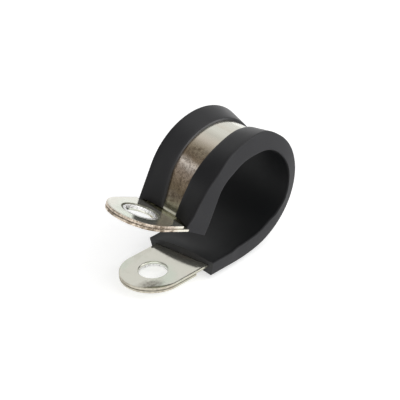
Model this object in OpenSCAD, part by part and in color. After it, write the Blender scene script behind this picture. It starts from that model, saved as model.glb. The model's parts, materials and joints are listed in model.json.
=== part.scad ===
// Rubber lined P clip for pipe, hose and cable.
// One steel strip is rolled into an open loop with a tab at each end.  A short
// reinforcing plate backs each tab and is clinched to it by a collar drawn out
// of the strip round the bolt hole.  A rubber channel grips the strip's edges.
//
// The pipe's axis is the Y axis, and the lower tab lies flat along -X.

/* [Strip] */
// Width of the steel strip
band_w = 15; // [13:0.5:17]
// Thickness of the steel strip
band_t = 0.65; // [0.6:0.05:1]

/* [Loop] */
// Bore of the rubber with the clip sprung open
bore_d = 23.2; // [20:0.2:32]
// Radius that eases the lower tab into the loop, to the strip's inner face
blend_r = 36; // [24:1:50]
// Angle turned by that easing arc
blend_angle = 12; // [8:1:16]
// Angle turned by the round part of the loop
loop_angle = 232; // [226:1:238]
// Straight run from the round part down to the upper tab
run_len = 7.6; // [6:0.2:9]

/* [Tabs] */
// Diameter of the bolt holes
bolt_d = 6.4; // [5.3:0.1:7]
// Distance from the start of the loop to the lower bolt hole
lower_reach = 16.3; // [16:0.1:22]
// Distance from the bend to the upper bolt hole
upper_reach = 9.3; // [8:0.1:13]
// Upward slope of the upper tab with the clip sprung open
upper_tilt = 24; // [16:1:30]
// Radius inside the bend at the upper tab
bend_r = 0.5; // [0.4:0.1:1]

/* [Reinforcing plates] */
// Thickness of the reinforcing plates
plate_t = 0.65; // [0.6:0.05:1]
// Distance from the bolt hole to a plate's squared end
plate_back = 6; // [5.5:0.1:7]

/* [Collars] */
// Wall thickness of a drawn collar
collar_t = 0.5; // [0.4:0.05:0.6]
// Height of a collar's flared rim above its plate
flare_h = 0.2; // [0.1:0.05:0.8]
// Distance that the rim flares out past the collar's wall
flare_w = 0.2; // [0.1:0.05:0.45]
// Rounding where the strip is drawn down into a collar
entry_r = 0.35; // [0.2:0.05:0.5]
// Width of the sunk ring round a flared rim
sink_w = 0.5; // [0.3:0.05:0.6]

/* [Rubber liner] */
// Thickness of the rubber between the strip and the pipe
liner_wall = 1.2; // [1:0.1:2]
// Width of the rubber past each edge of the strip, at the bore
liner_side = 1.7; // [1.4:0.1:2.4]
// Amount by which each side leans in from the bore to its outer edge
side_lean = 0.8; // [0.4:0.1:1]
// Thickness of the lips at the edges of the bare window
lip_t = 0.75; // [0.6:0.05:1.4]
// Extra thickness of the lips at the outer edges
lip_rise = 1.03; // [0.4:0.01:1.2]
// Width of the strip left bare between the lips
window_w = 6.6; // [5:0.2:8]
// Width of that window at the upper tab, where the lips close in
window_end_w = 5; // [4:0.2:5]
// Length of liner that lies along the lower tab
liner_tail = 7.6; // [6:0.2:8.5]
// Angle of the liner's lower end from square
tail_skew = 6; // [0:1:8]
// Length of rubber that runs on past the bend at the upper tab
liner_over = 0.8; // [0.2:0.1:1.2]
// Rounding of the rubber's edges
liner_r = 0.5; // [0.3:0.05:0.6]

/* [Fits] */
// Gap between the strip and the rubber channel
liner_gap = 0.05; // [0.02:0.01:0.1]
// Gap between a collar and the hole in its plate
collar_gap = 0.05; // [0.02:0.01:0.1]
// Gap between a tab and its plate
plate_gap = 0.02; // [0.01:0.01:0.05]

/* [Hidden] */
$fn = 96;

// Strip's inner face along the loop
loop_r = bore_d/2 + liner_wall + liner_gap;
end_heading = blend_angle + loop_angle;
tab_heading = 180 - upper_tilt;
// Start of the loop and the level of the lower tab's upper face
loop_x = loop_r*sin(blend_angle) - blend_r*sin(blend_angle);
tab_z = -loop_r*cos(blend_angle) - blend_r*(1 - cos(blend_angle));
// Tabs and collars
tab_r = band_w/2;
bolt_r = bolt_d/2;
collar_r = bolt_r + collar_t;
plate_level = band_t + plate_gap;
plate_top = plate_level + plate_t;
rim_top = plate_top + flare_h;
plate_hole_r = collar_r + collar_gap;
sink_r = collar_r + flare_w + sink_w;
sink_depth = 0.5*plate_t;
sink_slope = sink_r - plate_hole_r;
// Rubber profile: across the strip, and outward from its inner face
bore_v = -liner_gap - liner_wall;
channel_u = band_w/2 + liner_gap;
channel_v = band_t + liner_gap;
bore_u = band_w/2 + liner_side;
crest_u = bore_u - side_lean;
lip_v = channel_v + lip_t;
crest_v = lip_v + lip_rise;

// Change of the window's half width over each millimetre of the run
window_slope = (window_w - window_end_w)/2/run_len;
// Every second piece of a sweep is a hair larger all round and laps the pieces
// next to it, so that the strip and the rubber are each one solid
hair = 0.005;
lap_angle = 0.2;
lap = 0.05;
// A corner's rounding is drawn this much too large, so that it crosses the
// sides instead of just touching them
swell = 0.002;

// Outward direction from the strip at a heading
function outward(h) = [sin(h), -cos(h)];
function run_start() = loop_r*outward(end_heading);
function run_end() = run_start() + run_len*[cos(end_heading), sin(end_heading)];
function bend_centre() = run_end() + (bend_r + band_t)*outward(end_heading);
function upper_root() = bend_centre() - (bend_r + band_t)*outward(tab_heading);

function unit(v) = v/norm(v);
// Tangent length and centre of a rounded corner b between a and c
function half_turn(a, b, c) = acos(unit(a - b)*unit(c - b))/2;
function cut(a, b, c, r) = r/tan(half_turn(a, b, c));
function centre(a, b, c, r) = b + unit(unit(a - b) + unit(c - b))*r/sin(half_turn(a, b, c));

// Polygon whose corners are rounded by the radius given for each (0 keeps one sharp)
module soft_polygon(pts, radii) {
    n = len(pts);
    polygon([for (i = [0:n - 1])
        let (a = pts[(i + n - 1) % n], b = pts[i], c = pts[(i + 1) % n], r = radii[i])
        for (p = r > 0 ? [b + unit(a - b)*cut(a, b, c, r), b + unit(c - b)*cut(a, b, c, r)] : [b]) p]);
    for (i = [0:n - 1])
        if (radii[i] > 0)
            translate(centre(pts[(i + n - 1) % n], pts[i], pts[(i + 1) % n], radii[i]))
                circle(r = radii[i] + swell);
}

// Sweep of a profile (outward, across) round a centre in the XZ plane
module arc_sweep(c, from, angle)
    translate([c[0], 0, c[1]])
        rotate([90, 0, 0])
            rotate_extrude(angle = angle, start = from)
                children();

// Frame at a point of the strip's inner face: X along a heading, Z inward
module along(p, heading)
    translate([p[0], 0, p[1]])
        rotate([0, -heading, 0])
            children();

// Straight sweep of a profile (outward, across) along a heading
module run_sweep(p, heading, from, to)
    along(p, heading)
        translate([from, 0, 0])
            rotate([0, 90, 0])
                linear_extrude(height = to - from)
                    children();

// Section of the strip at a distance from the sweep's centre, grown by g
module strip_profile(at = 0, g = 0)
    translate([at - g, -band_w/2 - g])
        square([band_t + 2*g, band_w + 2*g]);

// Section of the rubber with its lips closed over the strip's channel
module closed_profile(g = 0)
    difference() {
        soft_polygon(
            [[bore_v - g, -bore_u - g], [crest_v + g, -crest_u - g], [lip_v + g, -window_w/2],
             [lip_v + g, window_w/2], [crest_v + g, crest_u + g], [bore_v - g, bore_u + g]],
            [liner_r, liner_r, 0, 0, liner_r, liner_r]);
        translate([g - liner_gap, g - channel_u])
            square([channel_v + liner_gap - 2*g, 2*channel_u - 2*g]);
    }

// Section of the rubber with the bare window between its lips
module liner_profile(at = 0, g = 0)
    translate([at, 0])
        difference() {
            closed_profile(g);
            translate([band_t/2, g - window_w/2])
                square([crest_v, window_w - 2*g]);
        }

// Tab frame: origin at the tab's root, X towards its tip, Z outward
module at_lower_tab()
    translate([loop_x, 0, tab_z])
        rotate([0, 180, 0])
            children();
module at_upper_tab()
    translate([upper_root()[0], 0, upper_root()[1]])
        rotate([0, 180 + upper_tilt, 0])
            rotate([180, 0, 0])
                children();

// Flat tab with a full round end, grown by g
module tab_blank(from, reach, thick, g = 0)
    translate([0, 0, -g])
        linear_extrude(height = thick + 2*g)
            difference() {
                union() {
                    translate([from, -tab_r - g])
                        square([reach - from, band_w + 2*g]);
                    translate([reach, 0])
                        circle(r = tab_r + g);
                }
                translate([from - band_w, -band_w])
                    square([band_w, 2*band_w]);
            }

// Collar drawn out of the strip, flared over the plate
module collar(reach)
    translate([reach, 0, 0])
        rotate_extrude()
            polygon([
                [0, band_t/2], [collar_r, band_t/2], [collar_r, plate_top - sink_depth/2],
                [collar_r + flare_w, plate_top + 0.3*flare_h],
                [collar_r + 0.8*flare_w, rim_top - 0.1*flare_h],
                [collar_r + 0.2*flare_w, rim_top], [0, rim_top]]);

// Bore of a collar, with its rounded mouth and the flare at its rim
module bore(reach)
    translate([reach, 0, 0])
        rotate_extrude() {
            difference() {
                translate([0, -1])
                    square([bolt_r + entry_r, 1 + entry_r]);
                translate([bolt_r + entry_r, entry_r])
                    circle(r = entry_r);
            }
            polygon([
                [0, entry_r/2], [bolt_r, entry_r/2], [bolt_r, rim_top - 0.6*flare_h],
                [bolt_r + 0.5*flare_w, rim_top], [bolt_r + 0.5*flare_w, rim_top + 1],
                [0, rim_top + 1]]);
        }

// Reinforcing plate with a squared end and a sunk ring round its hole
module plate(reach)
    translate([0, 0, plate_level])
        difference() {
            tab_blank(reach - plate_back, reach, plate_t);
            translate([reach, 0, -1])
                cylinder(r = plate_hole_r, h = plate_t + 2);
            translate([reach, 0, plate_t - sink_depth])
                cylinder(r1 = plate_hole_r, r2 = plate_hole_r + 2*sink_slope, h = 2*sink_depth);
        }

module band()
    color([0.80, 0.79, 0.74])
        difference() {
            union() {
                at_lower_tab()
                    tab_blank(0, lower_reach, band_t);
                arc_sweep([loop_x, tab_z + blend_r], -90 - lap_angle, blend_angle + 2*lap_angle)
                    strip_profile(blend_r, hair);
                arc_sweep([0, 0], blend_angle - 90, loop_angle)
                    strip_profile(loop_r);
                run_sweep(run_start(), end_heading, -lap, run_len + lap)
                    strip_profile(0, hair);
                arc_sweep(bend_centre(), tab_heading + 90, end_heading - tab_heading)
                    strip_profile(bend_r);
                at_upper_tab()
                    tab_blank(-lap, upper_reach, band_t, hair);
                at_lower_tab()
                    collar(lower_reach);
                at_upper_tab()
                    collar(upper_reach);
            }
            at_lower_tab()
                bore(lower_reach);
            at_upper_tab()
                bore(upper_reach);
        }

module upper_plate()
    color([0.82, 0.82, 0.78])
        at_upper_tab()
            plate(upper_reach);

module lower_plate()
    color([0.82, 0.82, 0.78])
        at_lower_tab()
            plate(lower_reach);

// Stretch of liner down to the upper tab, whose lips close in on the strip
module liner_run()
    difference() {
        run_sweep(run_start(), end_heading, -lap, run_len)
            closed_profile(hair);
        along(run_start(), end_heading)
            translate([0, 0, -crest_v - 1])
                linear_extrude(height = crest_v + 1 - band_t/2)
                    polygon([for (q = [[-1, -1], [run_len + 1, -1], [run_len + 1, 1], [-1, 1]])
                        [q[0], q[1]*(window_w/2 - hair - q[0]*window_slope)]]);
    }

// Rubber past the bend, which lies inside the strip and beside its edges
module liner_end()
    run_sweep(run_start(), end_heading, run_len - lap, run_len + liner_over)
        difference() {
            closed_profile();
            translate([-liner_gap, -channel_u])
                square([crest_v + 1, 2*channel_u]);
        }

// Stretch of liner along the lower tab, cut a little off square
module liner_tail_piece()
    difference() {
        run_sweep([loop_x, tab_z], 0, -liner_tail - band_w/4, 0)
            liner_profile();
        translate([loop_x - liner_tail, 0, tab_z])
            rotate([0, 0, tail_skew])
                translate([-2*band_w, -2*band_w, -band_w])
                    cube([2*band_w, 4*band_w, 2*band_w]);
    }

module liner()
    color([0.10, 0.10, 0.11]) {
        liner_tail_piece();
        arc_sweep([loop_x, tab_z + blend_r], -90 - lap_angle, blend_angle + 2*lap_angle)
            liner_profile(blend_r, hair);
        arc_sweep([0, 0], blend_angle - 90, loop_angle)
            liner_profile(loop_r);
        liner_run();
        liner_end();
    }

band();
upper_plate();
lower_plate();
liner();
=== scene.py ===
"""Finished look of a rubber-lined P clip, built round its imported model.

The clip is one steel strip rolled into an open loop, with a bolt tab at each
end, a reinforcing plate clinched behind each tab, and a rubber channel pushed
over the strip's edges.  Lengths are in millimetres until a mesh is written.
"""

import json
import logging
import math
from dataclasses import dataclass, field
from enum import Enum, IntEnum
from itertools import accumulate
from typing import Callable, Iterator, Sequence, Union

import bmesh
import bpy
from mathutils import Matrix, Vector, noise

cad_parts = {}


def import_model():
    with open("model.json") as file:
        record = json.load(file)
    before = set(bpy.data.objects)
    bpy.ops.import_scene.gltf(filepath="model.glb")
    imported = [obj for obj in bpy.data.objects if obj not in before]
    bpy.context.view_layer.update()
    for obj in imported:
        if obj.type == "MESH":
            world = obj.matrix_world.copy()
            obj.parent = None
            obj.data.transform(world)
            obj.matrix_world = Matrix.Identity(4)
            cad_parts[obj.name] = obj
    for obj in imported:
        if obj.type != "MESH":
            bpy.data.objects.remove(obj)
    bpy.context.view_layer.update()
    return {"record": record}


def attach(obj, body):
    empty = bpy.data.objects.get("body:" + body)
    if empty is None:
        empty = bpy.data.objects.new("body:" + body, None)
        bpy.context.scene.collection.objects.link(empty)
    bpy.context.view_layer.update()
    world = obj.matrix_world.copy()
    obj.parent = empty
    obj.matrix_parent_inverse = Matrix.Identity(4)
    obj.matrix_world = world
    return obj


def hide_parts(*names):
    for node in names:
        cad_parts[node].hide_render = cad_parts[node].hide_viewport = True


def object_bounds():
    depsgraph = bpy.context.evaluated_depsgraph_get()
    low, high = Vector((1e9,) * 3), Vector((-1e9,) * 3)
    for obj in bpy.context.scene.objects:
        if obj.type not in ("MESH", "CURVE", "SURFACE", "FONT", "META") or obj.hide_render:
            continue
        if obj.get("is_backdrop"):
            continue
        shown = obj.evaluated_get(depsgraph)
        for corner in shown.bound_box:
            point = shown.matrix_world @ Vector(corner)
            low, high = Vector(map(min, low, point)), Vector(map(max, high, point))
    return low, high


MM = 0.001
BODY = "root"
log = logging.getLogger("p_clip")

Point2 = tuple[float, float]
Colour = tuple[float, float, float]
Range = tuple[float, float]
Seat = Callable[[Vector], Vector]
HolePoint = tuple[float, float, int]
SpokePoint = tuple[Union[Vector, None], Point2, int]


class TabSide(Enum):
    """Which of the two bolt tabs a piece belongs to."""

    LOWER = "lower"
    UPPER = "upper"


class MetalZone(IntEnum):
    """Material slots of a sheet-metal piece, in the order of its materials."""

    FACE = 0
    EDGE = 1
    RIM = 2


class RubberZone(IntEnum):
    """Material slots of the liner, in the order of its materials."""

    MOULDED = 0
    CUT = 1


# ---------------------------------------------------------------- the line of the clip


@dataclass(frozen=True)
class Twist:
    """How far the rolled clip has ended up out of true, at each end."""

    lower_roll: float = math.radians(-4.5)
    lower_slide: float = -0.43
    upper_roll: float = math.radians(-1.2)
    upper_slide: float = -0.15
    upper_yaw: float = math.radians(0.6)
    lower_span: Range = (-0.03, 0.2)
    upper_roll_span: Range = (0.6, 1.0)
    upper_slide_span: Range = (0.5, 1.0)

    def at(self, share: float) -> tuple[float, float]:
        """Finds the twist part of the way round the clip.

        Args:
            share: 0 where the lower tab ends, 1 where the bend begins.

        Returns:
            Roll about the line in radians, and slide along the pipe's axis.
        """
        low = 1.0 - ease(share, *self.lower_span)
        roll = self.lower_roll * low + self.upper_roll * ease(share, *self.upper_roll_span)
        slide = self.lower_slide * low + self.upper_slide * ease(share, *self.upper_slide_span)
        return roll, slide


@dataclass(frozen=True)
class ClipLine:
    """Line of the strip's inner face in the XZ plane, from the lower tab to the upper one.

    Distance 0 is where the lower tab ends and the loop begins, so the lower
    tab has negative distances.
    """

    loop_r: float
    twist: Twist = Twist()
    strip_t: float = 0.65
    ease_r: float = 36.0
    ease_turn: float = math.radians(12.0)
    loop_turn: float = math.radians(232.0)
    run: float = 7.6
    bend_inside_r: float = 0.5
    upper_rise: float = math.radians(24.0)

    @property
    def bend_r(self) -> float:
        """Radius of the bend at the strip's inner face, which is the outside of the bend."""
        return self.bend_inside_r + self.strip_t

    @property
    def run_heading(self) -> float:
        """Heading of the straight run above the upper tab."""
        return self.ease_turn + self.loop_turn

    @property
    def tab_heading(self) -> float:
        """Heading of the upper tab."""
        return math.pi - self.upper_rise

    @property
    def root_x(self) -> float:
        """Place along X where the lower tab ends."""
        return (self.loop_r - self.ease_r) * math.sin(self.ease_turn)

    @property
    def tab_z(self) -> float:
        """Height of the lower tab's upper face."""
        drop = self.ease_r * (1.0 - math.cos(self.ease_turn))
        return -self.loop_r * math.cos(self.ease_turn) - drop

    @property
    def joints(self) -> list[float]:
        """Distances at which one stretch of the line ends and the next begins.

        Returns:
            Ends of the lower tab, the easing arc, the loop, the run and the bend.
        """
        lengths = (0.0, self.ease_r * self.ease_turn, self.loop_r * self.loop_turn, self.run,
                   self.bend_r * (self.run_heading - self.tab_heading))
        return list(accumulate(lengths))

    @staticmethod
    def outward(heading: float) -> Vector:
        """Direction in XZ that points away from the loop at a heading."""
        return Vector((math.sin(heading), -math.cos(heading)))

    @staticmethod
    def along(heading: float) -> Vector:
        """Direction in XZ of travel at a heading."""
        return Vector((math.cos(heading), math.sin(heading)))

    def station(self, distance: float) -> tuple[Vector, float]:
        """Finds a point of the line.

        Args:
            distance: How far along the line the point lies.

        Returns:
            The point in XZ and the heading there.
        """
        tab_end, arc_end, loop_end, run_end, bend_end = self.joints
        if distance <= tab_end:
            return Vector((self.root_x + distance, self.tab_z)), 0.0
        if distance <= arc_end:
            heading = distance / self.ease_r
            centre = Vector((self.root_x, self.tab_z + self.ease_r))
            return centre + self.ease_r * self.outward(heading), heading
        if distance <= loop_end:
            heading = self.ease_turn + (distance - arc_end) / self.loop_r
            return self.loop_r * self.outward(heading), heading
        heading = self.run_heading
        run_start = self.loop_r * self.outward(heading)
        if distance <= run_end:
            return run_start + (distance - loop_end) * self.along(heading), heading
        bend_start = run_start + self.run * self.along(heading)
        centre = bend_start + self.bend_r * self.outward(heading)
        if distance <= bend_end:
            heading -= (distance - run_end) / self.bend_r
            return centre - self.bend_r * self.outward(heading), heading
        heading = self.tab_heading
        root = centre - self.bend_r * self.outward(heading)
        return root + (distance - bend_end) * self.along(heading), heading

    def place(self, distance: float, across: float, out: float) -> Vector:
        """Finds a point beside the line.

        Args:
            distance: How far along the line.
            across: Offset along the pipe's axis.
            out: Offset away from the loop.

        Returns:
            The point in XYZ.
        """
        point, heading = self.station(distance)
        run_end, bend_end = self.joints[3:]
        roll, slide = self.twist.at(distance / run_end)
        cos, sin = math.cos(roll), math.sin(roll)
        point = point + (out * cos - across * sin) * self.outward(heading)
        yaw = max(0.0, distance - bend_end) * math.sin(self.twist.upper_yaw)
        return Vector((point.x, slide + yaw + out * sin + across * cos, point.y))

    def stops(self, start: float, end: float, straight: float, turn: float) -> list[float]:
        """Lists distances for the rings of a sweep.

        Args:
            start: First distance.
            end: Last distance.
            straight: Longest step on a straight stretch.
            turn: Largest turn in radians between rings on a curved stretch.

        Returns:
            Distances from start to end, with one at each joint between them.
        """
        radii = [math.inf, self.ease_r, self.loop_r, math.inf, self.bend_r, math.inf]
        ends = [start] + [j for j in self.joints if start < j < end] + [end]
        found = [start]
        for low, high in zip(ends, ends[1:]):
            middle = (low + high) / 2
            radius = radii[sum(1 for j in self.joints if j <= middle)]
            step = min(straight, radius * turn)
            count = max(1, math.ceil((high - low) / step - 1e-9))
            found += [low + (high - low) * i / count for i in range(1, count + 1)]
        return found


# ---------------------------------------------------------------- mesh drafting


@dataclass
class MeshDraft:
    """Vertices and faces of one piece before they become a mesh."""

    points: list[Vector] = field(default_factory=list)
    faces: list[tuple[int, ...]] = field(default_factory=list)
    maps: list[list[Point2]] = field(default_factory=list)
    zones: list[int] = field(default_factory=list)

    def add(self, point: Vector) -> int:
        """Adds a point in millimetres and returns its number."""
        self.points.append(point)
        return len(self.points) - 1

    def face(self, corners: Sequence[int], uvs: Sequence[Point2], zone: int) -> None:
        """Adds a face.

        Args:
            corners: Numbers of its points.
            uvs: Place of each corner on the unrolled surface, in centimetres.
            zone: Number of its material.
        """
        self.faces.append(tuple(corners))
        self.maps.append(list(uvs))
        self.zones.append(zone)

    def loft(self, rings: Sequence[Sequence[Union[int, None]]],
             maps: Sequence[Sequence[Point2]], zones: Sequence[int]) -> None:
        """Joins each ring of points to the next one with faces.

        Args:
            rings: Numbers of each ring's points, with None where the ring is open.
            maps: Place of each point on the unrolled surface, and one more to close the ring.
            zones: Material of the face that starts at each point of a ring.
        """
        for a, b, here, there in zip(rings, rings[1:], maps, maps[1:]):
            for j, zone in enumerate(zones):
                n = (j + 1) % len(zones)
                corners = (a[j], b[j], b[n], a[n])
                if None not in corners:
                    self.face(corners, (here[j], there[j], there[j + 1], here[j + 1]), zone)

    def build(self, name: str, materials: Sequence[bpy.types.Material],
              crease: float = math.radians(32.0), weld: float = 0.0005) -> bpy.types.Object:
        """Writes the draft as an object in metres.

        Args:
            name: Name of the object.
            materials: Its materials, by zone.
            crease: Edges that turn more than this stay sharp.
            weld: Points nearer than this become one.

        Returns:
            The new object, which rides on the clip's only body.
        """
        mesh = bpy.data.meshes.new(name)
        mesh.from_pydata([tuple(p * MM) for p in self.points], [], self.faces)
        layer = mesh.uv_layers.new(name="unrolled")
        for polygon, uvs, zone in zip(mesh.polygons, self.maps, self.zones):
            polygon.material_index = zone
            for loop, uv in zip(polygon.loop_indices, uvs):
                layer.data[loop].uv = uv
        soft = bmesh.new()
        soft.from_mesh(mesh)
        bmesh.ops.remove_doubles(soft, verts=soft.verts, dist=weld * MM)
        bmesh.ops.recalc_face_normals(soft, faces=soft.faces)
        soft.to_mesh(mesh)
        soft.free()
        for polygon in mesh.polygons:
            polygon.use_smooth = True
        mesh.set_sharp_from_angle(angle=crease)
        for material in materials:
            mesh.materials.append(material)
        piece = bpy.data.objects.new(name, mesh)
        bpy.context.scene.collection.objects.link(piece)
        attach(piece, BODY)
        return piece


def span(low: float, high: float, count: int) -> list[float]:
    """Evenly spaced values from low to high, with both ends."""
    return [low + (high - low) * i / count for i in range(count + 1)]


def ease(value: float, low: float, high: float) -> float:
    """Smooth step from 0 at low to 1 at high."""
    t = min(1.0, max(0.0, (value - low) / (high - low)))
    return t * t * (3.0 - 2.0 * t)


def closed(values: Sequence[Point2]) -> list[Point2]:
    """The values with the first one again at the end."""
    return [*values, values[0]]


def ripple(angle: float, rate: float, seed: float) -> float:
    """Uneven wave round a circle, from about -1 to 1, that closes on itself."""
    return noise.noise(Vector((rate * math.cos(angle), rate * math.sin(angle), seed)))


# ---------------------------------------------------------------- sheet metal


@dataclass(frozen=True)
class SheetEdge:
    """Outline of a sheared edge: (inset from the outline, height) from one face to the other."""

    thickness: float
    roll: float = 0.12
    burr: float = 0.14

    @property
    def points(self) -> list[Point2]:
        """Corner points from the punched face, which is rolled over, to the burred one."""
        t = self.thickness
        return [(self.roll, 0.0), (0.3 * self.roll, 0.3 * self.roll), (0.0, self.roll),
                (0.0, t - self.burr), (0.3 * self.burr, t - 0.3 * self.burr), (self.burr, t)]


@dataclass(frozen=True)
class TabSheet:
    """Flat sheet with a round end and a round hole, drafted in rings round its hole.

    Its own frame has X from the root towards the tip, Y across and Z outward.
    """

    root: float
    reach: float
    half_width: float
    edge: SheetEdge
    lift: float = 0.0
    joined: bool = False
    rays: int = 132
    across: int = 24
    shares: tuple[float, ...] = (0.12, 0.3, 0.55, 0.8, 1.0)
    wave_rise: Range = (0.3, 0.6)
    wave_lift: float = 0.6

    def root_spots(self) -> list[float]:
        """Places across the root, from one long side to the other."""
        inner = self.half_width - self.edge.points[0][0]
        return span(inner, -inner, self.across)

    def outline(self, inset: float) -> list[Vector]:
        """Finds the outline, pulled in from its nominal place.

        Args:
            inset: How far the outline is pulled in.

        Returns:
            Points in XY, anticlockwise round the tip from one root corner to the
            other, and then across the root.
        """
        side = self.half_width - inset
        back = self.root if self.joined else self.root + inset
        corner = math.atan2(self.half_width, self.root - self.reach)
        found = [Vector((back, -side))]
        for angle in span(-corner, corner, self.rays)[1:-1]:
            cos, sin = math.cos(angle), math.sin(angle)
            far = side if cos >= 0 else side / max(abs(sin), 1e-9)
            if cos < 0:
                far = min(far, (self.reach - back) / -cos)
            found.append(Vector((self.reach + far * cos, far * sin)))
        found.append(Vector((back, side)))
        shrink = side / self.half_width
        for y in self.root_spots()[1:-1]:
            found.append(Vector((back, y if self.joined else y * shrink)))
        return found

    def draft(self, mesh: MeshDraft, seat: Seat, hole: Sequence[HolePoint],
              inner_map: Point2) -> None:
        """Drafts the sheet into a mesh.

        Args:
            mesh: Draft that takes the points and faces.
            seat: Puts a point of the sheet's frame in its place on the clip.
            hole: (radius, height, zone of the next face) from the sheet's inner
                face, through the hole, to its outer face.
            inner_map: Offset of the unrolled surface.
        """
        outlines = [self.outline(inset) for inset, _ in self.edge.points]
        raised = Vector((0.0, 0.0, self.lift))
        rings, maps, zones = [], [], []
        for k, rim in enumerate(zip(*outlines)):
            spoke = self.spoke(rim, hole, self.joined and k > self.rays + 1)
            rings.append([None if p is None else mesh.add(seat(p + raised)) for p, _, _ in spoke])
            maps.append(closed([(inner_map[0] + u, inner_map[1] + v) for _, (u, v), _ in spoke]))
            zones = [zone for _, _, zone in spoke]
        mesh.loft(rings + rings[:1], maps + maps[:1], zones)

    def spoke(self, rim: Sequence[Vector], hole: Sequence[HolePoint],
              inside: bool) -> list[SpokePoint]:
        """Finds the points of one spoke: out of the hole, over the rim and back.

        Args:
            rim: Points of the outline in XY, for each point of the edge.
            hole: Section of the hole, as for the draft.
            inside: Whether the spoke ends at the root, where the sheet has no edge.

        Returns:
            Each point, its place on the unrolled surface, and the zone of the next face.
        """
        centre = Vector((self.reach, 0.0))
        ray = (rim[0] - centre).normalized()
        angle = math.atan2(ray.y, ray.x)

        def flat(radius: float, end: Vector, share: float, height: float) -> SpokePoint:
            """Finds a point on a flat face, part of the way from the hole to the outline.

            Args:
                radius: Radius of the hole on that face.
                end: Point of the outline.
                share: How far towards it.
                height: Height of the face.

            Returns:
                The point, its place on the unrolled surface, and the next face's zone.
            """
            spot = (centre + ray * radius).lerp(end, share)
            zone = MetalZone.EDGE if share == 1.0 and height else MetalZone.FACE
            return Vector((*spot, height)), (spot.x / 10, spot.y / 10), zone

        found = [flat(hole[0][0], rim[0], share, 0.0) for share in reversed(self.shares)]
        length = 0.0
        for before, (radius, height, zone) in zip([hole[0], *hole], hole):
            length += math.dist(before[:2], (radius, height))
            wave = self.rim_wave(angle, height)
            spot = centre + ray * (radius + wave)
            found.append((Vector((*spot, height + self.wave_lift * wave)),
                          (angle * hole[0][0] / 10, length / 10), zone))
        found += [flat(hole[-1][0], rim[-1], share, self.edge.thickness) for share in self.shares]
        for corner, (_, height) in list(zip(rim, self.edge.points))[-2:0:-1]:
            found.append((None if inside else Vector((*corner, height)),
                          ((corner.x + corner.y) / 10, height / 10), MetalZone.EDGE))
        return found

    def rim_wave(self, angle: float, height: float) -> float:
        """Unevenness of a flared rim, which grows with height above the sheet."""
        share = ease(height - self.edge.thickness, *self.wave_rise)
        return share * (0.07 * ripple(angle, 3.0, 4.0) + 0.04 * ripple(angle, 9.0, 7.0))


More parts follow.
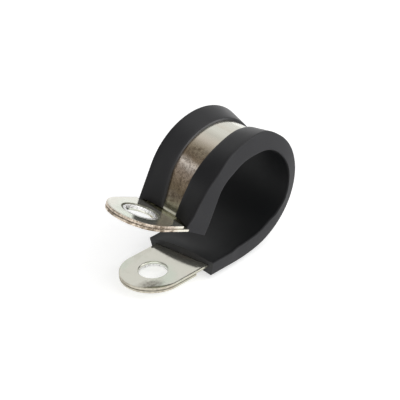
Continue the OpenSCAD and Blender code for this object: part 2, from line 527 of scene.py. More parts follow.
@dataclass
class Strip:
    """Steel strip: loop, run, bend and both tabs, with a flared collar on each tab.

    On the unrolled surface each tab lies beside the swept strip, at its own map_y
    in centimetres.
    """

    line: ClipLine
    lower_reach: float
    upper_reach: float
    bolt_r: float
    width: float = 15.0
    plate_t: float = 0.65
    plate_gap: float = 0.02
    collar_t: float = 0.5
    entry_r: float = 0.35
    flare_h: float = 0.2
    flare_w: float = 0.2
    rim_sink: float = 0.3
    step: float = 1.2
    turn: float = math.radians(2.5)
    lower_map_y: float = 3.0
    upper_map_y: float = 6.0

    @property
    def plate_level(self) -> float:
        """Height of a reinforcing plate's inner face above the strip's inner face."""
        return self.line.strip_t + self.plate_gap

    def reach(self, side: TabSide) -> float:
        """Distance from a tab's root to its bolt hole."""
        return self.lower_reach if side is TabSide.LOWER else self.upper_reach

    def collar(self) -> list[HolePoint]:
        """Finds the section of a collar: entry, bore, flared lip and outer wall.

        Returns:
            Points as (radius, height, zone), from the strip's inner face to its outer one.
        """
        face, rim = MetalZone.FACE, MetalZone.RIM
        plate_top = self.plate_level + self.plate_t
        top = plate_top + self.flare_h - self.rim_sink
        bore, outer = self.bolt_r, self.bolt_r + self.collar_t
        mouth = [(bore + self.entry_r * (1.0 - math.sin(t)), self.entry_r * (1.0 - math.cos(t)),
                  face) for t in span(0.0, math.pi / 2, 5)]
        wall = [(bore, h, rim) for h in span(self.entry_r, top - 0.6 * self.flare_h, 4)[1:]]
        lip = [(radius + w * self.flare_w, top - h * self.flare_h, rim) for radius, w, h in (
            (bore, 0.22, 0.25), (bore, 0.55, 0.03), (outer, 0.0, 0.0), (outer, 0.55, 0.06),
            (outer, 0.9, 0.28), (outer, 1.0, 0.55), (outer, 0.8, 0.9))]
        foot = [(outer, plate_top - 0.4, rim), (outer, self.line.strip_t, face)]
        return mouth + wall + lip + foot

    def sheet(self, side: TabSide) -> TabSheet:
        """The flat sheet of one tab, which joins the swept part of the strip."""
        return TabSheet(0.0, self.reach(side), self.width / 2, SheetEdge(self.line.strip_t),
                        joined=True)

    def seat(self, side: TabSide) -> Seat:
        """Finds how a point of a tab's own frame gets its place on the clip.

        Args:
            side: Which tab.

        Returns:
            A function from a point in the tab's frame to the point on the clip.
        """
        if side is TabSide.LOWER:
            return lambda p: self.line.place(-p.x, p.y, p.z)
        return lambda p: self.line.place(self.line.joints[-1] + p.x, p.y, p.z)

    def section(self) -> list[Point2]:
        """Finds the section of the strip.

        Returns:
            Points as (across, outward), round the strip once.
        """
        spots = self.sheet(TabSide.LOWER).root_spots()
        rim = SheetEdge(self.line.strip_t).points[1:-1]
        half = self.width / 2
        inner = [(y, 0.0) for y in spots]
        near = [(inset - half, out) for inset, out in rim]
        outer = [(y, self.line.strip_t) for y in reversed(spots)]
        far = [(half - inset, out) for inset, out in reversed(rim)]
        return inner + near + outer + far

    def build(self, materials: Sequence[bpy.types.Material]) -> bpy.types.Object:
        """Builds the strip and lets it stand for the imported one.

        Args:
            materials: Face, edge and rim finishes.

        Returns:
            The strip.
        """
        mesh = MeshDraft()
        section = self.section()
        stops = self.line.stops(0.0, self.line.joints[-1], self.step, self.turn)
        rings = [[mesh.add(self.line.place(s, y, v)) for y, v in section] for s in stops]
        maps = [closed([(s / 10, y / 10) for y, _ in section]) for s in stops]
        flat = [a[1] == b[1] and a[1] in (0.0, self.line.strip_t)
                for a, b in zip(section, closed(section)[1:])]
        zones = [MetalZone.FACE if is_flat else MetalZone.EDGE for is_flat in flat]
        mesh.loft(rings, maps, zones)
        inner_maps = {TabSide.LOWER: (0.0, self.lower_map_y),
                      TabSide.UPPER: (self.line.joints[-1] / 10, self.upper_map_y)}
        for side, inner_map in inner_maps.items():
            self.sheet(side).draft(mesh, self.seat(side), self.collar(), inner_map)
        piece = mesh.build("steel_strip", materials)
        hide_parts("band")
        return piece


@dataclass
class ReinforcingPlate:
    """Short plate behind a tab, with a ring sunk round its hole by the flared collar."""

    strip: Strip
    side: TabSide
    back: float = 6.0
    hole_gap: float = 0.05
    sink_r: float = 4.22
    sink_share: float = 0.5

    def build(self, materials: Sequence[bpy.types.Material]) -> bpy.types.Object:
        """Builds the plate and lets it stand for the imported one.

        Args:
            materials: Face, edge and sunk-ring finishes.

        Returns:
            The plate.
        """
        face, ring = MetalZone.FACE, MetalZone.RIM
        strip, top, sink_r = self.strip, self.strip.plate_t, self.sink_r
        hole_r = strip.bolt_r + strip.collar_t + self.hole_gap
        sunk = top * (1.0 - self.sink_share)
        hole = [(hole_r + 0.05, 0.0, face), (hole_r, 0.05, face), (hole_r, sunk, ring),
                (hole_r + 0.35 * (sink_r - hole_r), sunk + 0.06, ring),
                (sink_r - 0.06, top - 0.1, ring), (sink_r + 0.04, top, ring),
                (sink_r + 0.16, top, face)]
        reach = strip.reach(self.side)
        sheet = TabSheet(reach - self.back, reach, strip.width / 2,
                         SheetEdge(top, roll=0.16, burr=0.12), lift=strip.plate_level)
        mesh = MeshDraft()
        sheet.draft(mesh, strip.seat(self.side), hole, (0.0, 0.0))
        piece = mesh.build(f"{self.side.value}_reinforcing_plate", materials)
        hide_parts(f"{self.side.value}_plate")
        return piece


# ---------------------------------------------------------------- rubber


@dataclass(frozen=True)
class Bulge:
    """A soft-ended stretch of the line over which an edge of the rubber lies out of place."""

    start: float
    end: float
    soft: float
    amount: float

    def at(self, distance: float) -> float:
        """How far out of place the edge is at a distance along the line."""
        rise = ease(distance, self.start - self.soft, self.start)
        return self.amount * rise * (1.0 - ease(distance, self.end, self.end + self.soft))


@dataclass
class RubberLiner:
    """Rubber channel that wraps the strip's edges and leaves its middle bare.

    The near side, towards -Y, lies unevenly: a sway moves its bore or crest along
    the pipe's axis, and a swell or lift moves its wall, lip or crest outward.  The
    tail is the end at the lower tab; over is how far the other end passes the bend.
    """

    line: ClipLine
    strip_w: float
    gap: float = 0.05
    wall: float = 1.2
    side: float = 1.7
    lean: float = 0.8
    lip_t: float = 0.75
    lip_rise: float = 1.03
    far_lip_t: float = 0.55
    window_w: float = 6.6
    window_end_w: float = 5.0
    near_end_w: float = 3.8
    tail: float = 7.6
    tail_skew: float = math.radians(6.0)
    tail_bow: float = 0.8
    tail_overhang: float = 0.3
    over: float = 0.9
    over_skew: float = 0.045
    lip_over: float = 0.15
    lip_skew: float = 0.03
    bore_round: float = 0.4
    crest_round: float = 0.3
    near_round: float = 0.12
    far_round: float = 0.35
    bore_sway: tuple[Bulge, ...] = (
        Bulge(-8.0, -2.0, 4.0, -0.1), Bulge(2.0, 13.0, 3.0, 0.45), Bulge(20.0, 52.0, 4.0, -0.41),
        Bulge(56.0, 66.0, 4.0, -0.25))
    bore_swell: tuple[Bulge, ...] = (
        Bulge(18.0, 28.0, 7.0, -0.25), Bulge(45.5, 52.5, 7.0, 0.55))
    lip_lift: tuple[Bulge, ...] = (Bulge(42.0, 44.0, 5.5, 0.42),)
    crest_sway: tuple[Bulge, ...] = (
        Bulge(46.0, 55.0, 5.0, -0.5), Bulge(54.5, 55.5, 4.0, -0.3), Bulge(63.0, 80.0, 4.5, 0.6),
        Bulge(68.0, 80.0, 3.0, 0.6))
    crest_lift: tuple[Bulge, ...] = (Bulge(67.0, 80.0, 5.0, 0.7),)
    side_span: Range = (3.0, 8.5)
    height_span: Range = (-1.0, 2.2)
    lip_span: Range = (1.0, 3.0)
    lip_height: Range = (0.7, 1.3)
    wall_depth: Range = (0.6, 1.2)
    bow_height: Range = (-0.2, 0.6)
    bow_length: float = 5.0
    bow_half_w: float = 8.0
    step: float = 0.8
    turn: float = math.radians(2.5)

    def window_half(self, distance: float, near: bool) -> float:
        """Finds how far the bare window reaches from the middle, on one side.

        Args:
            distance: Where along the line it is.
            near: Whether it is the side towards -Y.

        Returns:
            Half the window's width there.
        """
        start, end = self.line.joints[2:4]
        if near:
            share, end_w = ease(distance, start - 10.0, end - 1.0), self.near_end_w
        else:
            share, end_w = min(1.0, max(0.0, (distance - start) / (end - start))), self.window_end_w
        return (self.window_w + (end_w - self.window_w) * share) / 2

    def section(self, distance: float, past: bool = False) -> list[Point2]:
        """Section as (across, outward) round the rubber, which has no lips past the bend."""
        far, near = (self.half_section(distance, side, past) for side in (False, True))
        return far + [(-y, out) for y, out in reversed(near) if y > 0.0]

    def half_section(self, distance: float, near: bool, past: bool) -> list[Point2]:
        """Finds the section of one side, from the middle of the bore to the channel.

        Args:
            distance: Where along the line it is.
            near: Whether it is the side towards -Y.
            past: Whether it lies past the bend.

        Returns:
            Points as (distance from the middle, outward).
        """
        seat = self.line.strip_t + self.gap
        channel = self.strip_w / 2 + self.gap
        window = self.window_half(distance, near)
        middle = (0.0, -self.gap - self.wall)
        bore = (self.strip_w / 2 + self.side, middle[1])
        crest = (bore[0] - self.lean, seat + self.lip_t + self.lip_rise)
        lip = (window, seat + (self.lip_t if near else self.far_lip_t))
        half = (
            [(y, bore[1]) for y in span(0.0, bore[0] - 1.0, 5)]
            + rounded(middle, bore, crest, self.bore_round, 6)
            + rounded(bore, crest, lip, self.crest_round, 6)
            + [(window + (crest[0] - window) * t, lip[1] + (crest[1] - lip[1]) * t)
               for t in (0.7, 0.45, 0.2)]
            + rounded(crest, lip, (window, 0.0), self.near_round if near else self.far_round, 4)
            + [(window, seat), (channel, seat), (channel, -self.gap)]
        )
        if past:
            half = [(channel, max(out, -self.gap)) if y < channel and out > bore[1] else (y, out)
                    for y, out in half]
        return half

    def place(self, distance: float, across: float, out: float) -> Vector:
        """Places a point of the rubber, with the sways of its near side and the bow of its tail.

        Args:
            distance: How far along the line.
            across: Offset along the pipe's axis.
            out: Offset away from the loop.

        Returns:
            The point in XYZ.
        """
        side, height = ease(-across, *self.side_span), ease(out, *self.height_span)
        bore, crest, lift, swell, raised = (
            sum(bulge.at(distance) for bulge in bulges)
            for bulges in (self.bore_sway, self.crest_sway, self.crest_lift, self.bore_swell,
                           self.lip_lift))
        out += ease(-across, *self.lip_span) * ease(out, *self.lip_height) * raised
        out -= side * ease(-out, *self.wall_depth) * swell
        across += side * (bore * (1.0 - height) + crest * height)
        bow = 1.0 - ease(distance, -self.tail, self.bow_length - self.tail)
        bow *= (1.0 - ease(out, *self.bow_height)) * max(0.0, 1.0 - (across / self.bow_half_w) ** 2)
        out += side * height * lift - self.tail_bow * bow
        end = self.line.joints[3]
        point = self.line.place(min(distance, end), across, out)
        way = self.line.along(self.line.run_heading) * max(0.0, distance - end)
        return point + Vector((way.x, 0.0, way.y))

    def build(self, materials: Sequence[bpy.types.Material]) -> bpy.types.Object:
        """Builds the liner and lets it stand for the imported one.

        Args:
            materials: Moulded and cut finishes.

        Returns:
            The liner.
        """
        mesh = MeshDraft()
        end = self.line.joints[3]
        stops = self.line.stops(-self.tail, end, self.step, self.turn) + [end + self.lip_over]
        last = len(stops)
        stops += [stops[-1]] + span(stops[-1], end + self.over, 2)[1:]
        skews = [0.0] * (last - 1) + [self.lip_skew] * 2
        skews += [self.over_skew] * (len(stops) - last - 1)
        sections = [self.section(s, past=i >= last) for i, s in enumerate(stops)]
        rings, maps = [], []
        for s, end_skew, section in zip(stops, skews, sections):
            share = 1.0 - ease(s, -self.tail, 0.0)
            skew = share * math.tan(self.tail_skew) + end_skew
            rings.append([])
            for y, out in section:
                slide = skew * y + share * self.tail_overhang * max(0.0, -out / self.wall)
                rings[-1].append(mesh.add(self.place(s - slide, y, out)))
            lengths = accumulate(map(math.dist, section, closed(section)[1:]), initial=0.0)
            maps.append([(s / 10, length / 10) for length in lengths])
        mesh.loft(rings, maps, [RubberZone.MOULDED] * len(rings[0]))
        for k in (0, -1):
            mesh.face(rings[k], [(y / 10, out / 10) for y, out in sections[k]], RubberZone.CUT)
        piece = mesh.build("rubber_liner", materials)
        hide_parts("liner")
        return piece


def rounded(before: Point2, corner: Point2, after: Point2, radius: float,
            count: int) -> list[Point2]:
    """Rounds a corner of an outline.

    Args:
        before: Point before the corner.
        corner: The corner.
        after: Point after the corner.
        radius: Radius of the rounding.
        count: Number of steps round it.

    Returns:
        Points along the rounding.
    """
    b, a, c = Vector(corner), Vector(before), Vector(after)
    u, w = (a - b).normalized(), (c - b).normalized()
    half = math.acos(max(-1.0, min(1.0, u.dot(w)))) / 2
    centre = b + (u + w).normalized() * radius / math.sin(half)
    start = b + u * radius / math.tan(half) - centre
    end = b + w * radius / math.tan(half) - centre
    turn = math.atan2(start.x * end.y - start.y * end.x, start.dot(end))
    found = []
    for t in span(0.0, turn, count):
        cos, sin = math.cos(t), math.sin(t)
        found.append((centre.x + start.x * cos - start.y * sin,
                      centre.y + start.x * sin + start.y * cos))
    return found


# ---------------------------------------------------------------- shader maths


Amount = Union["Value", float]


class Value:
    """A number in a shader: Python's operators on it add Math nodes."""

    def __init__(self, shop: "ShaderShop", socket: bpy.types.NodeSocket) -> None:
        """Keeps the node tree and the socket that holds the number."""
        self.shop = shop
        self.socket = socket

    def _math(self, operation: str, first: Amount, second: Amount = 0.0) -> "Value":
        """Adds a Math node."""
        return self.shop.add("ShaderNodeMath", {"operation": operation}, {0: first, 1: second})

    def __add__(self, other: Amount) -> "Value":
        """Sum."""
        return self._math("ADD", self, other)

    __radd__ = __add__

    def __sub__(self, other: Amount) -> "Value":
        """Difference."""
        return self._math("SUBTRACT", self, other)

    def __rsub__(self, other: Amount) -> "Value":
        """Difference, with this value taken away."""
        return self._math("SUBTRACT", other, self)

    def __mul__(self, other: Amount) -> "Value":
        """Product."""
        return self._math("MULTIPLY", self, other)

    __rmul__ = __mul__

    def __truediv__(self, other: Amount) -> "Value":
        """Quotient."""
        return self._math("DIVIDE", self, other)

    def __pow__(self, other: Amount) -> "Value":
        """Power."""
        return self._math("POWER", self, other)

    def fraction(self) -> "Value":
        """What is left past the whole number."""
        return self._math("FRACT", self)

    def band(self, low: float, high: float) -> "Value":
        """Smooth step, which falls where high is below low.

        Args:
            low: Where the step is 0.
            high: Where it is 1.

        Returns:
            The step.
        """
        start, end = min(low, high), max(low, high)
        falling = float(high < low)
        return self.shop.add("ShaderNodeMapRange", {"interpolation_type": "SMOOTHSTEP"},
                             {"Value": self, "From Min": start, "From Max": end,
                              "To Min": falling, "To Max": 1.0 - falling})

    def between(self, low: float, high: float, soft: float) -> "Value":
        """Smooth bump that is 1 from low to high and fades over a soft width."""
        return self.band(low - soft, low + soft) * self.band(high + soft, high - soft)


class ShaderShop:
    """Builds the node tree of one material, or of the world."""

    # Numbers of the Mix node's colour sockets
    COLOUR_A, COLOUR_B, COLOUR_OUT = 6, 7, 2

    def __init__(self, name: str, world: bool = False) -> None:
        """Starts an empty material or world with an output node.

        Args:
            name: Its name.
            world: Whether it is the world.
        """
        self.material = (bpy.data.worlds if world else bpy.data.materials).new(name)
        self.material.use_nodes = True
        self.tree = self.material.node_tree
        self.tree.nodes.clear()
        kind = "ShaderNodeOutputWorld" if world else "ShaderNodeOutputMaterial"
        self.output = self.tree.nodes.new(kind)

    def add(self, kind: str, settings: dict[str, object] | None = None,
            inputs: dict[Union[str, int], object] | None = None, out: Union[str, int] = 0) -> Value:
        """Adds a node.

        Args:
            kind: Type of the node.
            settings: Its settings, such as an operation or a ramp's stops.
            inputs: Values or links for its sockets.
            out: Output that is wanted.

        Returns:
            That output.
        """
        node = self.tree.nodes.new(kind)
        for key, setting in (settings or {}).items():
            if key == "stops":
                self._stops(node.color_ramp, setting)
            else:
                setattr(node, key, setting)
        for key, given in (inputs or {}).items():
            if isinstance(given, Value):
                self.tree.links.new(given.socket, node.inputs[key])
            else:
                node.inputs[key].default_value = given
        return Value(self, node.outputs[out])

    @staticmethod
    def _stops(ramp: bpy.types.ColorRamp, stops: Sequence[tuple[float, Colour]]) -> None:
        """Sets a ramp's stops.

        Args:
            ramp: The ramp.
            stops: Place and colour of each stop.
        """
        while len(ramp.elements) < len(stops):
            ramp.elements.new(1.0)
        for element, (position, colour) in zip(ramp.elements, stops):
            element.position = position
            element.color = (*colour, 1.0)

    def place(self) -> Value:
        """Place on the object, in metres."""
        return self.add("ShaderNodeTexCoord", out="Object")

    def unrolled(self) -> Value:
        """Place on the unrolled surface, in centimetres."""
        return self.add("ShaderNodeUVMap", {"uv_map": "unrolled"})

    def stretched(self, vector: Value, scale: tuple[float, float, float]) -> Value:
        """Vector with its parts multiplied."""
        return self.add("ShaderNodeVectorMath", {"operation": "MULTIPLY"},
                        {0: vector, 1: scale})

    def noise(self, vector: Value, scale: float, detail: float, roughness: float = 0.6) -> Value:
        """Cloudy pattern from 0 to 1."""
        return self.add("ShaderNodeTexNoise", {"noise_dimensions": "3D"},
                        {"Vector": vector, "Scale": scale, "Detail": detail,
                         "Roughness": roughness})

    def ramp(self, place: Value, stops: Sequence[tuple[float, Colour]]) -> Value:
        """Colour that runs through the stops as a value goes from 0 to 1."""
        return self.add("ShaderNodeValToRGB", {"stops": stops}, {"Fac": place})

    def streaks(self, along: float, across: float, scale: float, detail: float,
                roughness: float = 0.6) -> Value:
        """Cloudy pattern on the unrolled surface, packed closer along or across the strip."""
        drawn = self.stretched(self.unrolled(), (along, across, 1.0))
        return self.noise(drawn, scale, detail, roughness)

    def part(self, vector: Value, axis: str) -> Value:
        """One part of a vector."""
        return self.add("ShaderNodeSeparateXYZ", {}, {0: vector}, axis)

    def blend(self, share: Amount, first: Union[Value, Colour],
              second: Union[Value, Colour]) -> Value:
        """Mixes two colours.

        Args:
            share: How much of the second.
            first: Colour at 0.
            second: Colour at 1.

        Returns:
            The mixed colour.
        """
        ends = [given if isinstance(given, Value) else (*given, 1.0) for given in (first, second)]
        return self.add("ShaderNodeMix", {"data_type": "RGBA"},
                        {0: share, self.COLOUR_A: ends[0], self.COLOUR_B: ends[1]},
                        self.COLOUR_OUT)

    def bump(self, height: Value, strength: float, distance: float,
             under: Value | None = None) -> Value:
        """Normal pushed by a height.

        Args:
            height: Height from 0 to 1.
            strength: How much of the push is used.
            distance: Depth in metres of a height of 1.
            under: Bump beneath this one.

        Returns:
            The normal.
        """
        inputs: dict[Union[str, int], object] = {
            "Height": height, "Strength": strength, "Distance": distance}
        if under is not None:
            inputs["Normal"] = under
        return self.add("ShaderNodeBump", {}, inputs)

    def seen(self) -> Value:
        """Finds the rays that show a surface as it is, directly or in a mirror.

        Returns:
            1 for camera, glossy and transmission rays, else 0.
        """
        rays = [self.add("ShaderNodeLightPath", out=f"Is {kind} Ray")
                for kind in ("Camera", "Glossy", "Transmission")]
        return (rays[0] + rays[1] + rays[2]).band(0.0, 1.0)

    def close(self, shader: Value) -> bpy.types.ID:
        """Links the last shader to the output and gives the material or world."""
        self.tree.links.new(shader.socket, self.output.inputs["Surface"])
        return self.material

    def surface(self, **sockets: object) -> Value:
        """Adds a surface shader, with its sockets by name and underscores for spaces."""
        named = {key.replace("_", " "): given for key, given in sockets.items()}
        return self.add("ShaderNodeBsdfPrincipled", {}, named)

    def finish(self, **sockets: object) -> bpy.types.Material:
        """Closes the material with one surface shader, which has the given sockets."""
        return self.close(self.surface(**sockets))


# ---------------------------------------------------------------- finishes


@dataclass(frozen=True)
class BrightZinc:
    """Bright zinc plate on a rolled face, with clouding and fine rolling lines."""

    name: str = "bright_zinc"
    colour: Colour = (0.655, 0.645, 0.57)
    green: Colour = (0.56, 0.64, 0.54)
    pink: Colour = (0.68, 0.59, 0.50)
    dull: Colour = (0.50, 0.485, 0.41)
    roughness: float = 0.09
    metallic: float = 0.85
    grain_depth: float = 0.000012
    line_depth: float = 0.000008

    def shine(self, shop: ShaderShop) -> Amount:
        """How far the face mirrors like bare metal."""
        return self.metallic

    def face(self, shop: ShaderShop) -> Value:
        """Finds the colour of the clean plating, with a faint bloom of passivation.

        Args:
            shop: Node tree that it goes into.

        Returns:
            The colour.
        """
        place = shop.place()
        clouds = shop.noise(place, 260.0, 4.0)
        bloom = shop.noise(place, 95.0, 2.0, 0.5)
        colour = shop.blend(bloom.band(0.54, 0.70) * 0.6, self.colour, self.green)
        colour = shop.blend(bloom.band(0.46, 0.32) * 0.6, colour, self.pink)
        return shop.blend(clouds.band(0.52, 0.74) * 0.45, colour, self.dull)

    def build(self) -> bpy.types.Material:
        """Builds the material.

        Returns:
            The material.
        """
        shop = ShaderShop(self.name)
        place = shop.place()
        lines = shop.streaks(1.2, 34.0, 6.0, 3.0)
        grain = shop.noise(place, 2600.0, 2.0)
        patches = shop.noise(place, 300.0, 3.0)
        normal = shop.bump(grain, 0.22, self.grain_depth)
        return shop.finish(Base_Color=self.face(shop), Metallic=self.shine(shop),
                           Roughness=self.roughness + patches * 0.08 + lines * 0.05,
                           Normal=shop.bump(lines, 0.2, self.line_depth, normal))


@dataclass(frozen=True)
class StainedZincWithPaintedLight(BrightZinc):
    """The strip's plating, stained brown in clouds and specks above the upper tab.

    The brown is partly real stain and partly painted reflection; the stops also
    hold a painted highlight streak and a painted highlight along the bend, with a
    painted shadow line below it.  The stain is placed by distance along the
    strip, in centimetres.
    """

    name: str = "stained_zinc"
    covered: Range = (4.5, 7.28)
    ramp: Range = (4.4, 7.3)
    # 6.70 to 6.76 a painted highlight on the bend, 6.785 on a painted shadow line.
    # Partly real stain, partly painted reflection: 5.62 is a painted highlight streak,
    stain_and_painted_light: tuple[tuple[float, Colour], ...] = (
        (4.65, (0.655, 0.645, 0.57)), (4.80, (0.54, 0.52, 0.45)), (5.00, (0.62, 0.56, 0.47)),
        (5.25, (0.60, 0.50, 0.36)), (5.45, (0.50, 0.38, 0.26)), (5.62, (0.96, 0.86, 0.76)),
        (5.80, (0.66, 0.53, 0.42)), (6.00, (0.58, 0.45, 0.32)), (6.22, (0.36, 0.28, 0.18)),
        (6.40, (0.50, 0.42, 0.32)), (6.62, (0.47, 0.46, 0.34)), (6.70, (1.0, 0.98, 0.86)),
        (6.76, (1.0, 0.98, 0.86)), (6.785, (0.22, 0.21, 0.13)), (6.98, (0.38, 0.37, 0.25)))
    clouded: Range = (5.1, 6.45)
    speck: Colour = (0.17, 0.12, 0.075)
    specks_start: Range = (5.1, 5.3)
    specks_end: Range = (6.68, 6.6)
    # Painted highlight along the bend, where the plating mirrors less.
    glint: Range = (6.69, 6.765)
    smudge: Colour = (0.17, 0.155, 0.125)
    smudge_place: Point2 = (2.07, 2.59)

    def shine(self, shop: ShaderShop) -> Amount:
        """Mirrors like bare metal, apart from the painted highlight along the bend, which is matt.
        """
        along = shop.part(shop.unrolled(), "X")
        return self.metallic - along.between(*self.glint, 0.015) * 0.8

    def face(self, shop: ShaderShop) -> Value:
        """Finds the plating's colour, with its stain and painted light, and the smudge near the
        lower tab's tip.

        Args:
            shop: Node tree that it goes into.

        Returns:
            The colour.
        """
        unrolled = shop.unrolled()
        along, across = shop.part(unrolled, "X"), shop.part(unrolled, "Y")
        specks = shop.noise(shop.place(), 1700.0, 4.0, 0.75)
        blots = shop.noise(shop.place(), 520.0, 3.0)
        drift = (blots - 0.5) * 0.26 + (specks - 0.5) * 0.05 + across * 0.12
        reach = along + drift * along.between(*self.clouded, 0.1)
        start, length = self.ramp[0], self.ramp[1] - self.ramp[0]
        stops = [((at - start) / length, colour) for at, colour in self.stain_and_painted_light]
        # Real stain with painted reflection, painted highlights and a painted shadow line, by
        # distance.
        stained_and_painted = shop.ramp((reach - start) / length, stops)
        darker = specks.band(0.47, 0.57) * 0.45 + blots.band(0.5, 0.62) * 0.4
        darker = darker * along.band(*self.specks_start) * along.band(*self.specks_end)
        stained_and_painted = shop.blend(darker, stained_and_painted, self.speck)
        du, dv = along - self.smudge_place[0], across - self.smudge_place[1]
        far = (du * du * 7.0 + (dv - du * 0.35) ** 2 * 16.0) ** 0.5 + (blots - 0.5) * 0.9
        rubbed = far.band(1.0, 0.35) * (0.45 + specks.band(0.42, 0.6) * 0.4)
        clean = shop.blend(rubbed, super().face(shop), self.smudge)
        return shop.blend(along.between(*self.covered, 0.03), clean, stained_and_painted)


@dataclass(frozen=True)
class ShearedEdge:
    """Sheared edge of a sheet: clean along the sides, torn and brownish round the tip.

    The seam between strip and plate is dark; it lies at a height on the edge, in centimetres.
    """

    name: str
    seam: float
    seam_half_w: float = 0.013
    clean: Colour = (0.92, 0.89, 0.78)
    pale: Colour = (0.56, 0.56, 0.47)
    colour: Colour = (0.76, 0.66, 0.55)
    dark: Colour = (0.17, 0.125, 0.08)
    shade: Colour = (0.06, 0.052, 0.036)
    upper_z: Range = (-0.011, -0.008)
    tip_x: Range = (-0.0205, -0.0225)
    torn_depth: float = 0.00006

    def build(self) -> bpy.types.Material:
        """Builds the material.

        Returns:
            The material.
        """
        shop = ShaderShop(self.name)
        place = shop.place()
        torn = shop.noise(place, 1500.0, 4.0, 0.7)
        patches = shop.noise(place, 420.0, 3.0)
        upper = shop.part(place, "Z").band(*self.upper_z)
        tip = (shop.part(place, "X") + (patches - 0.5) * 0.004).band(*self.tip_x)
        tip = tip * (upper * 0.6 + 0.4)
        share = (torn * 0.6 + patches * 0.5).band(0.46, 0.66)
        rough = shop.blend(share, self.colour, self.dark)
        # Edges high up, on the upper tab, are lighter than those low down, on the lower tab.
        clean = shop.blend(upper, self.pale, self.clean)
        colour = shop.blend(tip, shop.blend(share * 0.25, clean, self.colour), rough)
        height = (shop.part(shop.unrolled(), "Y") + 0.01).fraction() - 0.01
        seam = height.between(self.seam - self.seam_half_w, self.seam + self.seam_half_w, 0.004)
        broken = 1.0 - tip * patches.band(0.42, 0.6) * 0.7
        return shop.finish(Base_Color=shop.blend(seam * broken * 0.9, colour, self.shade),
                           Metallic=0.85, Roughness=0.26 + tip * torn * 0.4,
                           Normal=shop.bump(torn, 0.5, self.torn_depth))


@dataclass(frozen=True)
class SunkRing:
    """Ring pressed into a plate round its collar, painted dark as painted shade and painted
    reflection, in mottled tones.
    """

    name: str = "sunk_ring"
    # Painted shade and painted reflection in the sunk ring, with a lighter mottle.
    colour: Colour = (0.15, 0.15, 0.11)
    light: Colour = (0.34, 0.34, 0.28)
    mottle_depth: float = 0.00008

    def build(self) -> bpy.types.Material:
        """Builds the material.

        Returns:
            The material.
        """
        shop = ShaderShop(self.name)
        mottle = shop.noise(shop.place(), 700.0, 4.0, 0.7)
        return shop.finish(Base_Color=shop.blend(mottle.band(0.45, 0.65), self.colour, self.light),
                           Metallic=0.6, Roughness=0.45,
                           Normal=shop.bump(mottle, 0.5, self.mottle_depth))


@dataclass(frozen=True)
class FlaredRim:
    """Stretched and flared rim of a collar: bright, streaked and rough."""

    name: str = "flared_rim"
    colour: Colour = (0.84, 0.84, 0.83)
    dark: Colour = (0.20, 0.20, 0.18)
    tear_depth: float = 0.00026

    def build(self) -> bpy.types.Material:
        """Builds the material.

        Returns:
            The material.
        """
        shop = ShaderShop(self.name)
        tears = shop.streaks(9.0, 1.6, 5.0, 4.0, 0.7)
        chips = shop.noise(shop.place(), 1300.0, 4.0, 0.7)
        share = (tears * 0.7 + chips * 0.4).band(0.5, 0.75)
        return shop.finish(Base_Color=shop.blend(share, self.colour, self.dark), Metallic=1.0,
                           Roughness=0.2 + chips * 0.15,
                           Normal=shop.bump((tears + chips) * 0.6, 0.9, self.tear_depth))


@dataclass(frozen=True)
class BlackRubber:
    """Satin black rubber: painted sheen on its flanks, painted shade in the bore, painted
    reflection on a lip.
    """

    name: str = "black_rubber"
    colour: Colour = (0.0100, 0.0100, 0.0113)
    bloom: Colour = (0.022, 0.022, 0.023)
    # Painted shade: the bore is coloured darker than the outside.
    bore: Colour = (0.0040, 0.0045, 0.0050)
    # Painted sheen: the side faces are coloured lighter for the light they catch.
    flank_sheen: Colour = (0.056, 0.056, 0.059)
    flank_sheen_grain: Colour = (0.072, 0.072, 0.074)
    # Painted reflection on the far lip's window wall, which faces -Y.
    lip_reflection: Colour = (0.14, 0.14, 0.145)
    lip_reflection_x: Range = (-0.0095, 0.004)
    roughness: float = 0.32
    grain_depth: float = 0.00003
    drag_depth: float = 0.00004

    def build(self) -> bpy.types.Material:
        """Builds the material.

        Returns:
            The material.
        """
        shop = ShaderShop(self.name)
        place = shop.place()
        facing = shop.add("ShaderNodeTexCoord", out="Normal")
        sideways = shop.part(facing, "Y")
        flank = (sideways * sideways).band(0.5, 0.8)
        outward = shop.add("ShaderNodeVectorMath", {"operation": "DOT_PRODUCT"},
                           {0: shop.stretched(place, (1.0, 0.0, 1.0)), 1: facing}, "Value")
        bore = outward.band(-0.004, -0.009)
        # The far lip's window wall, facing -Y, is painted lighter as a painted reflection.
        wall = sideways.band(-0.3, -0.7) * shop.part(place, "Y").band(0.001, 0.002)
        wall = wall * shop.part(place, "X").between(*self.lip_reflection_x, 0.003)
        grain = shop.noise(place, 3200.0, 3.0)
        clouds = shop.noise(place, 180.0, 4.0)
        drag = shop.streaks(1.5, 16.0, 3.0, 3.0)
        normal = shop.bump(drag, 0.15, self.drag_depth, shop.bump(grain, 0.35, self.grain_depth))
        satin = shop.surface(
            Base_Color=shop.blend(clouds.band(0.48, 0.75) * 0.25, self.colour, self.bloom),
            Roughness=self.roughness + clouds * 0.12 + drag * 0.05, Specular_IOR_Level=0.3,
            Normal=normal)
        # Side faces painted lighter, as painted sheen.
        flank_sheen_tone = shop.blend(grain.band(0.5, 0.7) * 0.25, self.flank_sheen, self.flank_sheen_grain)
        sheened_flank = shop.surface(Base_Color=shop.blend(wall, flank_sheen_tone, self.lip_reflection), Normal=normal,
                             Roughness=0.45 + clouds * 0.1, Specular_IOR_Level=0.08)
        # The bore is painted darker, as painted shade.
        shaded_bore = shop.surface(Base_Color=(*self.bore, 1.0), Normal=normal, Specular_IOR_Level=0.2,
                              Roughness=0.46 + clouds * 0.12)
        outside = shop.add("ShaderNodeMixShader", {}, {0: flank, 1: satin, 2: sheened_flank})
        return shop.close(shop.add("ShaderNodeMixShader", {}, {0: bore, 1: outside, 2: shaded_bore}))


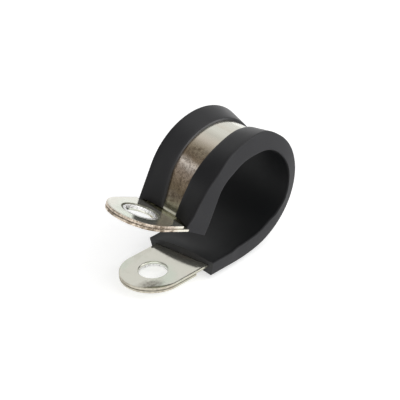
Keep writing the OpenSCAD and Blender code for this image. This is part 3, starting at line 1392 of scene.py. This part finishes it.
@dataclass(frozen=True)
class CutRubber:
    """Cut end of the rubber: matt, with fine knife marks."""

    name: str = "cut_rubber"
    colour: Colour = (0.02, 0.02, 0.021)
    mark: Colour = (0.026, 0.026, 0.026)
    mark_depth: float = 0.00006

    def build(self) -> bpy.types.Material:
        """Builds the material.

        Returns:
            The material.
        """
        shop = ShaderShop(self.name)
        marks = shop.streaks(1.0, 30.0, 4.0, 3.0, 0.7)
        grain = shop.noise(shop.place(), 2500.0, 3.0)
        colour = shop.blend(marks.band(0.45, 0.7) * 0.5, self.colour, self.mark)
        return shop.finish(Base_Color=colour, Roughness=0.6 + grain * 0.1,
                           Normal=shop.bump((marks + grain) * 0.5, 0.4, self.mark_depth))


@dataclass(frozen=True)
class PaleFloor:
    """Plain pale floor that keeps the clip's shadow and turns white away from it."""

    name: str = "pale_floor"
    colour: Colour = (0.80, 0.80, 0.80)
    lift: Colour = (0.58, 0.58, 0.58)
    white: Colour = (1.0, 1.0, 1.0)
    fade_r: Range = (0.12, 0.45)

    def build(self) -> bpy.types.Material:
        """Builds the material.

        Returns:
            The material.
        """
        shop = ShaderShop(self.name)
        body = shop.add("ShaderNodeBsdfDiffuse", {}, {"Color": (*self.colour, 1.0)})
        radius = shop.add("ShaderNodeVectorMath", {"operation": "LENGTH"}, {0: shop.place()},
                          "Value")
        colour = shop.blend(radius.band(*self.fade_r), self.lift, self.white)
        glow = shop.add("ShaderNodeEmission", {}, {"Color": colour, "Strength": shop.seen()})
        return shop.close(shop.add("ShaderNodeAddShader", {}, {0: body, 1: glow}))


# ---------------------------------------------------------------- studio


@dataclass(frozen=True)
class Lamp:
    """A soft square lamp that faces the clip."""

    name: str
    place: tuple[float, float, float]
    size: float
    power: float

    def build(self) -> None:
        """Builds the lamp."""
        light = bpy.data.lights.new(self.name, "AREA")
        light.size = self.size
        light.energy = self.power
        lamp = bpy.data.objects.new(self.name, light)
        lamp.location = self.place
        lamp.rotation_euler = (-Vector(self.place)).to_track_quat("-Z", "Y").to_euler()
        bpy.context.scene.collection.objects.link(lamp)


@dataclass(frozen=True)
class Viewpoint:
    """Camera that looks at a point from an azimuth and an elevation."""

    target: tuple[float, float, float] = (-0.005467, 0.001128, -0.002855)
    azimuth: float = math.radians(-45.388)
    elevation: float = math.radians(33.08)
    roll: float = math.radians(1.539)
    distance: float = 0.299354
    lens: float = 121.36
    sensor: float = 36.0
    clip: Range = (0.01, 10.0)

    def build(self) -> None:
        """Builds the camera and makes it the scene's."""
        a, e = self.azimuth, self.elevation
        right = Vector((math.cos(a), math.sin(a), 0.0))
        back = Vector((math.sin(a) * math.cos(e), -math.cos(a) * math.cos(e), math.sin(e)))
        up = back.cross(right)
        cos, sin = math.cos(self.roll), math.sin(self.roll)
        right, up = cos * right + sin * up, cos * up - sin * right
        data = bpy.data.cameras.new("camera")
        data.lens = self.lens
        data.sensor_width = self.sensor
        data.clip_start, data.clip_end = self.clip
        camera = bpy.data.objects.new("camera", data)
        turn = Matrix((right, up, back)).transposed().to_4x4()
        camera.matrix_world = Matrix.Translation(
            Vector(self.target) + self.distance * back) @ turn
        bpy.context.scene.collection.objects.link(camera)
        bpy.context.scene.camera = camera


@dataclass(frozen=True)
class Studio:
    """Floor, world, lamps and camera round the clip."""

    floor_level: float
    floor_half_w: float = 1.5
    world_light: float = 0.25
    white: Colour = (1.0, 1.0, 1.0)
    lamps: tuple[Lamp, ...] = (
        Lamp("key", (0.42, -0.62, 0.45), 1.0, 2.9),
        Lamp("top", (0.25, -0.25, 0.8), 1.0, 2.8),
        Lamp("fill", (-0.6, -0.45, 0.3), 0.9, 1.9),
    )
    room: tuple[Point2, ...] = (
        (-0.85, 0.26), (-0.66, 0.34), (-0.60, 0.72), (-0.54, 0.36), (-0.40, 0.20), (-0.20, 0.30),
        (-0.05, 0.50), (0.10, 0.80), (0.20, 0.95), (0.35, 1.0))
    room_depth: Range = (0.1, 0.4)

    def build(self) -> None:
        """Builds the whole studio."""
        self.floor()
        self.world()
        for lamp in self.lamps:
            lamp.build()
        Viewpoint().build()
        bpy.context.scene.view_settings.view_transform = "Standard"

    def floor(self) -> None:
        """Builds the floor."""
        mesh = bpy.data.meshes.new("floor")
        half, z = self.floor_half_w, self.floor_level
        corners = [(-half, -half, z), (half, -half, z), (half, half, z), (-half, half, z)]
        mesh.from_pydata(corners, [], [(0, 1, 2, 3)])
        mesh.materials.append(PaleFloor().build())
        floor = bpy.data.objects.new("floor", mesh)
        bpy.context.scene.collection.objects.link(floor)
        floor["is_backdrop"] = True

    def world(self) -> None:
        """Builds the world: dim light all round, and white where it is seen or mirrored.

        The side of it behind the clip and to its left mirrors as the unlit side of a room.
        """
        shop = ShaderShop("studio", world=True)
        seen = shop.seen()
        direction = shop.add("ShaderNodeTexCoord", out="Generated")
        side, depth = shop.part(direction, "X"), shop.part(direction, "Y")
        stops = [(0.5 + at / 2, (level, level, level)) for at, level in self.room]
        room = shop.ramp(side * 0.5 + 0.5, stops)
        camera = shop.add("ShaderNodeLightPath", out="Is Camera Ray")
        share = depth.band(*self.room_depth) * seen * (1.0 - camera)
        strength = self.world_light + seen * (1.0 - self.world_light)
        lit = shop.add("ShaderNodeBackground", {},
                       {"Color": shop.blend(share, self.white, room), "Strength": strength})
        bpy.context.scene.world = shop.close(lit)


# ---------------------------------------------------------------- the clip


@dataclass
class PClip:
    """The whole clip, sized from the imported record."""

    record: dict

    def mount(self, name: str) -> dict:
        """Finds a mount of the record by its name."""
        return next(m for m in self.record["mounts"] if m["name"] == name)

    def pieces(self) -> Iterator[bpy.types.Object]:
        """Builds the pieces one by one, with places and radii taken from the mounts.

        Yields:
            Each finished piece.
        """
        bore_r = self.mount("tube_seat")["dims"]["r_mm"]
        line = ClipLine(loop_r=bore_r + RubberLiner.wall + RubberLiner.gap)
        lower, upper = (Vector(self.mount(f"{side.value}_bolt_hole")["pos_m"]) / MM
                        for side in TabSide)
        root, heading = line.station(line.joints[-1])
        strip = Strip(line, lower_reach=line.root_x - lower.x,
                      upper_reach=(Vector((upper.x, upper.z)) - root).dot(line.along(heading)),
                      bolt_r=self.mount("lower_bolt_hole")["dims"]["r_mm"])
        strip_edge = ShearedEdge("strip_edge", seam=line.strip_t / 10).build()
        plate_edge, ring = ShearedEdge("plate_edge", seam=0.0).build(), SunkRing().build()
        zinc = BrightZinc().build()
        yield strip.build([StainedZincWithPaintedLight().build(), strip_edge, FlaredRim().build()])
        for side in TabSide:
            yield ReinforcingPlate(strip, side).build([zinc, plate_edge, ring])
        yield RubberLiner(line, strip.width).build([BlackRubber().build(), CutRubber().build()])


def as_list(bounds: Sequence[Sequence[float]]) -> list[list[float]]:
    """Corners of a box as plain numbers."""
    return [[float(x) for x in corner] for corner in bounds]


def main() -> None:
    """Builds the clip in its studio, with the floor at the clip's lowest point."""
    logging.basicConfig(level=logging.INFO, format="%(name)s: %(message)s")
    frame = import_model()
    for piece in PClip(frame["record"]).pieces():
        log.info("%s: %d faces", piece.name, len(piece.data.polygons))
    dressed = as_list(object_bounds())
    Studio(floor_level=dressed[0][2]).build()


if __name__ == "__main__":
    main()
